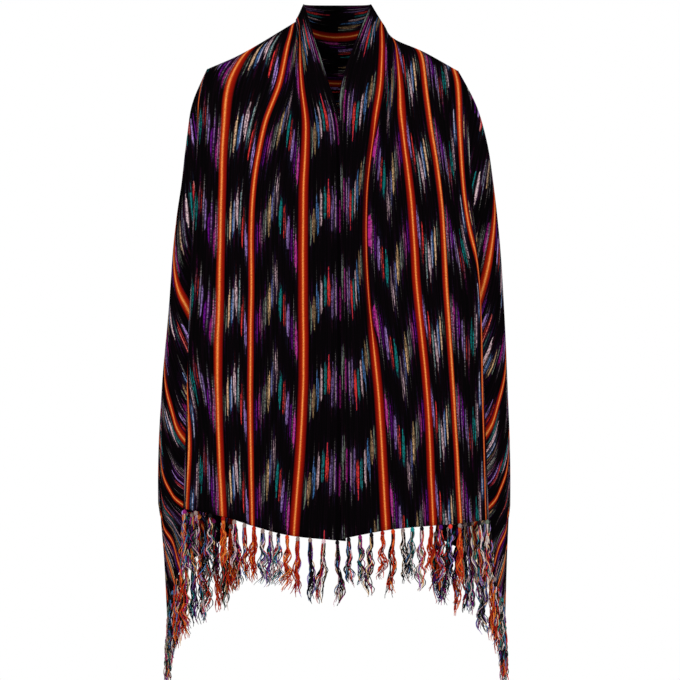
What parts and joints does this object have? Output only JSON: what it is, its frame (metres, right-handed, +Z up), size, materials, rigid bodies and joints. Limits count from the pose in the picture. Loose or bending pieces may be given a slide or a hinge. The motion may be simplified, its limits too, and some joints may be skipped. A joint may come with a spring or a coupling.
{
  "type": "rebozo shawl",
  "caption": "Handwoven rebozo shawl with striped and ikat-dyed bands and knotted fringes, draped open over both shoulders with a loose collar.",
  "frame": {"origin": "middle of the neck opening, level with the top of the collar, where the wearer's neck and shoulders hold the shawl", "axes": "+Z up along the standing wearer, -Y the way the wearer faces, +X to the wearer's left"},
  "size_m": [0.5568, 0.2819, 1.0981],
  "materials": {
    "woven_cotton": "matte, near black with coloured warp stripes",
    "fringe_yarn": "matte yarn"
  },
  "bodies": {
    "root": {"right_front": "woven_cotton", "right_side": "woven_cotton", "right_back": "woven_cotton", "left_front": "woven_cotton", "left_side": "woven_cotton", "left_back": "woven_cotton", "right_front_fringe": "fringe_yarn", "right_side_fringe": "fringe_yarn", "left_front_fringe": "fringe_yarn", "left_side_fringe": "fringe_yarn"}
  },
  "joints": []
}
